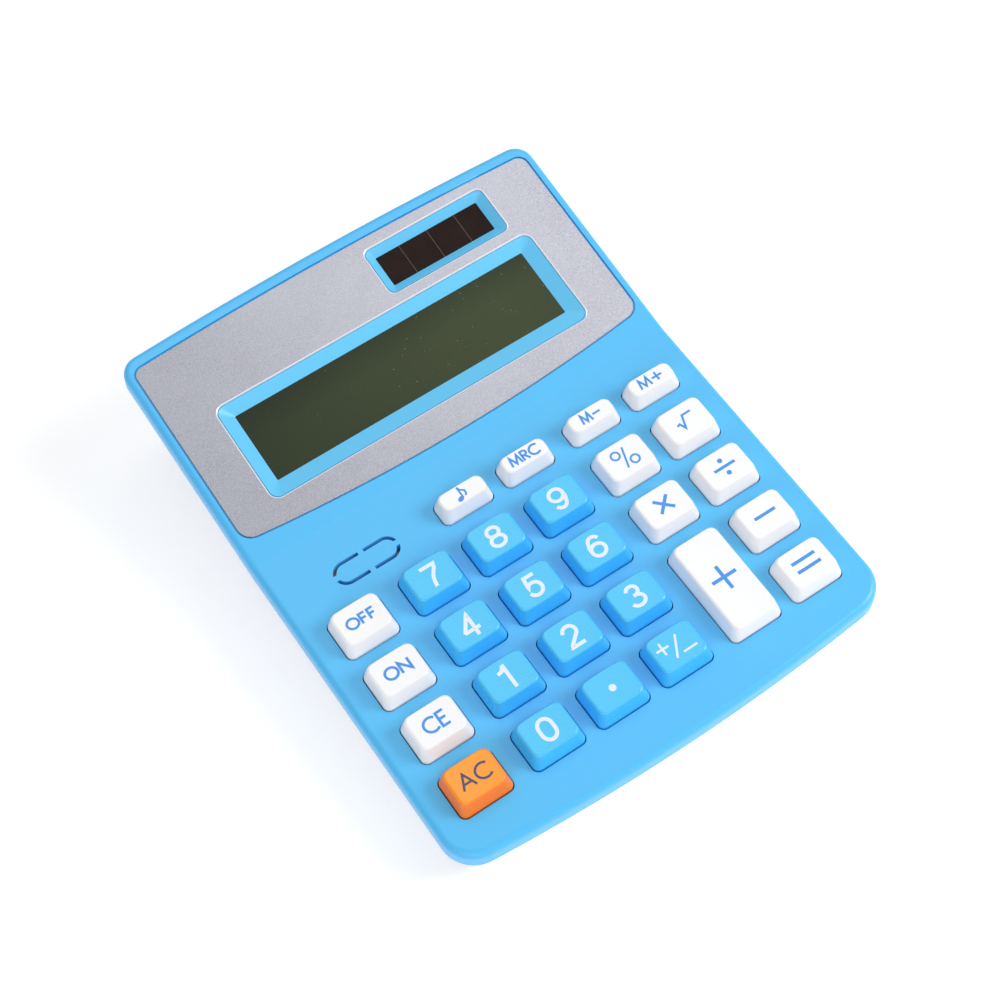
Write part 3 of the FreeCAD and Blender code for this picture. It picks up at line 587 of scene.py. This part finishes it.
# bold numerals in a box 1 wide and 1 high, along the middle of the pen
numerals = {
    "zero": [{"closed": arc(0.5, 0.62, 0.5, 0.38, 0, 180, 20) + arc(0.5, 0.38, 0.5, 0.38, 180, 360, 20)}],
    "one": [[(0.62, -0.1), (0.62, 1.1)], [(0.56, 1.02), (0.4, 0.84), (0.02, 0.78)]],
    "two": [arc(0.48, 0.7, 0.46, 0.3, 172, -32, 22) + [(0.12, 0.1), (0.06, 0.0), (1.02, 0.0)]],
    "three": [arc(0.46, 0.76, 0.4, 0.24, 165, -78, 20) + [(0.36, 0.53)],
              [(0.36, 0.53)] + arc(0.46, 0.265, 0.5, 0.265, 80, -165, 22)],
    "four": [[(0.7, -0.1), (0.7, 1.0), (-0.02, 0.28), (0.02, 0.24), (1.08, 0.24)]],
    "five": [[(0.94, 1.0), (0.2, 1.0), (0.1, 0.47)] + arc(0.47, 0.325, 0.5, 0.325, 128, -162, 24)],
    "six": [arc(0.54, 0.72, 0.42, 0.28, 22, 150, 14) + arc(0.5, 0.45, 0.5, 0.45, 155, 195, 8)
            + arc(0.5, 0.31, 0.5, 0.31, 180, 525, 34)],
    "seven": [[(-0.04, 1.0), (1.0, 1.0)] + arc(1.75, -0.1, 1.38, 1.1, 128, 178, 10)],
    "eight": [ring(0.5, 0.76, 0.43, 0.24), ring(0.5, 0.27, 0.5, 0.27)],
}
numerals["nine"] = [[(1 - x, 1 - y) for x, y in stroke] for stroke in numerals["six"]]

# marks in millimetres about the middle of the key
marks = {
    "percent": [ring(-1.62, 1.4, 0.98, 0.98), ring(1.62, -1.4, 0.98, 0.98), [(-0.78, -2.5), (0.78, 2.5)]],
    "root": [[(-2.3, -0.35), (-1.55, -0.05), (-0.95, -1.6), (0.15, 1.55), (2.35, 1.55)]],
    "times": [[(-1.72, -1.72), (1.72, 1.72)], [(-1.72, 1.72), (1.72, -1.72)]],
    "divide": [[(-2.65, 0), (2.65, 0)], {"disc": (0, 1.7, 0.57, 0.57, 0)}, {"disc": (0, -1.7, 0.57, 0.57, 0)}],
    "minus": [[(-2.65, 0), (2.65, 0)]],
    "equals": [[(-2.95, 1.1), (2.95, 1.1)], [(-2.95, -1.1), (2.95, -1.1)]],
    "plus": [[(-3.0, 0), (3.0, 0)], [(0, -3.0), (0, 3.0)]],
    "point": [{"disc": (0, -0.1, 0.8, 0.8, 0)}],
    "sign": [[(-4.25, 0.95), (-1.25, 0.95)], [(-2.75, -0.55), (-2.75, 2.45)], [(-1.3, -2.35), (1.3, 2.35)],
             [(0.6, -1.9), (3.9, -1.9)]],
    "sound": [{"disc": (-0.95, -1.15, 0.78, 0.55, 25)}, [(-0.32, -1.1), (-0.32, 1.75)],
              [(-0.32, 1.75), (-0.1, 0.95), (0.75, 0.3), (0.72, -0.5), (0.35, -0.95)]],
}

# key: what is printed, size in millimetres, pen width, ink
printed = {
    "off": ("OFF", 7.1, 2.9, 0.54, "sky_ink"),
    "on": ("ON", 6.3, 3.2, 0.57, "sky_ink"),
    "ce": ("CE", 5.8, 3.8, 0.57, "sky_ink"),
    "ac": ("AC", 7.1, 3.8, 0.48, "navy_ink"),
    "memory_recall": ("MRC", 7.5, 2.9, 0.5, "sky_ink"),
    "memory_minus": ("M-", 5.3, 2.9, 0.5, "sky_ink"),
    "memory_plus": ("M+", 6.3, 2.9, 0.5, "sky_ink"),
    "percent": (None, 1, 1, 0.45, "sky_ink"),
    "root": (None, 1, 1, 0.5, "sky_ink"),
    "times": (None, 1, 1, 0.74, "sky_ink"),
    "divide": (None, 1, 1, 0.7, "sky_ink"),
    "minus": (None, 1, 1, 0.74, "sky_ink"),
    "equals": (None, 1, 1, 0.76, "sky_ink"),
    "plus": (None, 1, 1, 0.8, "sky_ink"),
    "point": (None, 1, 1, 0.6, "white_ink"),
    "sign": (None, 1, 1, 0.48, "white_ink"),
    "sound": (None, 1, 1, 0.42, "sky_ink"),
}
numeralSize = {"width": 4.0, "height": 5.6, "pen": 0.82, "ink": "white_ink"}
ribbon = {  # how the print lies on a key; the step is in millimetres, like the strokes
    "lift": 0.025 * mm, "layer": 0.004 * mm, "sink": 0.12 * mm, "crown": 0.45 * mm,
    "step": 0.45, "letterGap": 0.24, "sharpest": 0.42,
}


def moved(part, place):
    # a stroke, open or closed, with each of its points put in a new place
    points = [place(x, y) for x, y in (part["closed"] if isinstance(part, dict) else part)]
    return {"closed": points} if isinstance(part, dict) else points


def wordStrokes(word, width, height, pen):
    # letters side by side, then the whole word fitted to its printed width
    gap = ribbon["letterGap"]
    total = sum(letters[letter][0] for letter in word) + gap * (len(word) - 1)
    wide, high = (width - pen) / total, height - pen
    strokes, x = [], 0.0
    for letter in word:
        across, parts = letters[letter]
        for part in parts:
            strokes.append(moved(part, lambda px, py: ((x + px) * wide - (width - pen) / 2, (py - 0.5) * high)))
        x += across + gap
    return strokes


def numeralStrokes(name):
    wide, high = numeralSize["width"] - numeralSize["pen"], numeralSize["height"] - numeralSize["pen"]
    return [moved(part, lambda x, y: ((x - 0.5) * wide, (y - 0.5) * high)) for part in numerals[name]]


def finer(points, closed):
    # no run is longer than the step, so that a stroke follows the dish
    out = []
    loop = points + points[:1] if closed else points
    for (x0, y0), (x1, y1) in zip(loop, loop[1:]):
        runs = max(1, math.ceil(math.hypot(x1 - x0, y1 - y0) / ribbon["step"]))
        out += [(x0 + (x1 - x0) * i / runs, y0 + (y1 - y0) * i / runs) for i in range(runs)]
    return out if closed else out + [points[-1]]


def edgesOf(points, closed, pen):
    # the two edges of a pen stroke, mitred at its corners
    count = len(points)
    left, right = [], []
    for i, (x, y) in enumerate(points):
        before = points[i - 1] if closed or i else None
        after = points[(i + 1) % count] if closed or i < count - 1 else None
        ways = []
        for a, b in ((before, (x, y)), ((x, y), after)):
            if a and b:
                way = Vector((b[0] - a[0], b[1] - a[1]))
                if way.length > 1e-9:
                    ways.append(way.normalized())
        normals = [Vector((-way.y, way.x)) for way in ways]
        if len(normals) == 2:
            middle = (normals[0] + normals[1]).normalized()
            reach = pen / 2 / max(middle.dot(normals[0]), ribbon["sharpest"])
        else:
            middle, reach = normals[0], pen / 2
        left.append((x + middle.x * reach, y + middle.y * reach))
        right.append((x - middle.x * reach, y - middle.y * reach))
    return left, right


class KeyTop:  # finds heights on one key's top, in the panel's frame and in millimetres
    def __init__(self, name):
        mesh = nodes[name].data
        points = panelPoints[name]
        faces = [list(face.vertices) for face in mesh.polygons]
        self.tree = BVHTree.FromPolygons([p / mm for p in points], faces)
        high = max(p.z for p in points)
        crown = [p for p in points if p.z > high - ribbon["crown"]]
        self.x = (min(p.x for p in crown) + max(p.x for p in crown)) / 2 / mm
        self.y = (min(p.y for p in crown) + max(p.y for p in crown)) / 2 / mm

    def height(self, x, y):
        return self.tree.ray_cast(Vector((x, y, 30)), Vector((0, 0, -1)))[0].z

    def pair(self, bm, x, y, raised=0.0):
        x, y = x + self.x, y + self.y
        z = self.height(x, y)
        over = panelFrame @ (Vector((x, y, z)) * mm + Vector((0, 0, ribbon["lift"] + raised)))
        under = panelFrame @ (Vector((x, y, z)) * mm - Vector((0, 0, ribbon["sink"])))
        return bm.verts.new(over), bm.verts.new(under)


def inkStroke(bm, keyTop, points, closed, pen, raised):
    points = finer(points, closed)
    left, right = edgesOf(points, closed, pen)
    sections = [(keyTop.pair(bm, *a, raised), keyTop.pair(bm, *b, raised)) for a, b in zip(left, right)]
    spans = list(zip(sections, sections[1:] + sections[:1])) if closed else list(zip(sections, sections[1:]))
    for ((lo, lu), (ro, ru)), ((lo2, lu2), (ro2, ru2)) in spans:
        for face in ((lo, ro, ro2, lo2), (lu, lu2, ru2, ru), (lo, lo2, lu2, lu), (ro, ru, ru2, ro2)):
            bm.faces.new(face)
    if not closed:
        for (lo, lu), (ro, ru) in (sections[0], sections[-1]):
            bm.faces.new((lo, lu, ru, ro))


def inkDisc(bm, keyTop, x, y, across, up, turn, steps=28):
    lean = math.radians(turn)
    pairs = []
    for i in range(steps):
        a = 2 * math.pi * i / steps
        u, v = across * math.cos(a), up * math.sin(a)
        pairs.append(keyTop.pair(bm, x + u * math.cos(lean) - v * math.sin(lean),
                                 y + u * math.sin(lean) + v * math.cos(lean)))
    over, under = keyTop.pair(bm, x, y)
    for (o1, u1), (o2, u2) in zip(pairs, pairs[1:] + pairs[:1]):
        bm.faces.new((over, o1, o2))
        bm.faces.new((under, u2, u1))
        bm.faces.new((o1, u1, u2, o2))


def printLegend(name):
    short = name[4:]
    if short in numerals:
        strokes, pen, ink = numeralStrokes(short), numeralSize["pen"], numeralSize["ink"]
    else:
        word, width, height, pen, ink = printed[short]
        strokes = wordStrokes(word, width, height, pen) if word else marks[short]
    bm = bmesh.new()
    keyTop = KeyTop(name)
    for order, stroke in enumerate(strokes):
        raised = order * ribbon["layer"]  # where two strokes cross, the later one lies on top
        if isinstance(stroke, dict) and "disc" in stroke:
            inkDisc(bm, keyTop, *stroke["disc"])
        elif isinstance(stroke, dict):
            inkStroke(bm, keyTop, stroke["closed"], True, pen, raised)
        else:
            inkStroke(bm, keyTop, stroke, False, pen, raised)
    made = piece("legend_" + short, meshOf("legend_" + short, bm, 50), ink)
    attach(made, name)


for name in keyNames:
    printLegend(name)
print("legends printed on", len(keyNames), "keys")


# floor, light and camera

floor = {"size": 3.0, "colour": "ffffff", "glow": 0.22}
reach = floor["size"] / 2
floorMesh = bpy.data.meshes.new("floor")
floorMesh.from_pydata([(-reach, -reach, 0), (reach, -reach, 0), (reach, reach, 0), (-reach, reach, 0)], [],
                      [(0, 1, 2, 3)])
paints["floor"] = Paint("pale_floor", Base_Color=tint(floor["colour"]), Roughness=0.9, Specular_IOR_Level=0.0,
                        Emission_Color=tint(floor["colour"]), Emission_Strength=floor["glow"])
floorMade = piece("floor", floorMesh, "floor")

world = bpy.data.worlds.new("studio")
bpy.context.scene.world = world
world.use_nodes = True
studio = {"Color": (0.97, 0.985, 1.0, 1.0), "Strength": 0.46}
for key, value in studio.items():
    world.node_tree.nodes["Background"].inputs[key].default_value = value

# name: where it hangs, width, height, watts, colour
softboxes = {
    "windowLight": ((0.62, -0.36, 0.52), 0.42, 0.42, 4.1, (1.0, 0.99, 0.975)),
    "topLight": ((0.1, 0.35, 0.85), 0.8, 0.5, 1.8, (0.96, 0.98, 1.0)),
    "fillLight": ((-0.5, -0.6, 0.35), 0.7, 0.5, 2.0, (1.0, 1.0, 1.0)),
}
for name, (spot, width, height, watts, colour) in softboxes.items():
    light = bpy.data.lights.new(name, "AREA")
    light.shape = "RECTANGLE"
    light.size, light.size_y = width, height
    light.energy = watts
    light.color = colour
    lamp = bpy.data.objects.new(name, light)
    lamp.location = spot
    lamp.rotation_mode = "QUATERNION"
    lamp.rotation_quaternion = (-Vector(spot)).to_track_quat("-Z", "Y")
    bpy.context.scene.collection.objects.link(lamp)

view = {
    "from": (-0.11228, -0.214824, 0.39010), "at": (-0.00015, -0.001494, 0.012),
    "roll": 7.3266, "lens": 75.0,
}
cameraData = bpy.data.cameras.new("camera")
cameraData.lens = view["lens"]
cameraData.sensor_width = 36.0
cameraData.clip_start, cameraData.clip_end = 0.01, 20.0
camera = bpy.data.objects.new("camera", cameraData)
camera.location = view["from"]
camera.rotation_mode = "QUATERNION"
aim = (Vector(view["at"]) - Vector(view["from"])).to_track_quat("-Z", "Y")
camera.rotation_quaternion = aim @ Quaternion((0, 0, 1), -math.radians(view["roll"]))
bpy.context.scene.collection.objects.link(camera)
bpy.context.scene.camera = camera
bpy.context.scene.view_settings.view_transform = "Standard"
print("floor, lights and camera set")

bpy.context.view_layer.update()
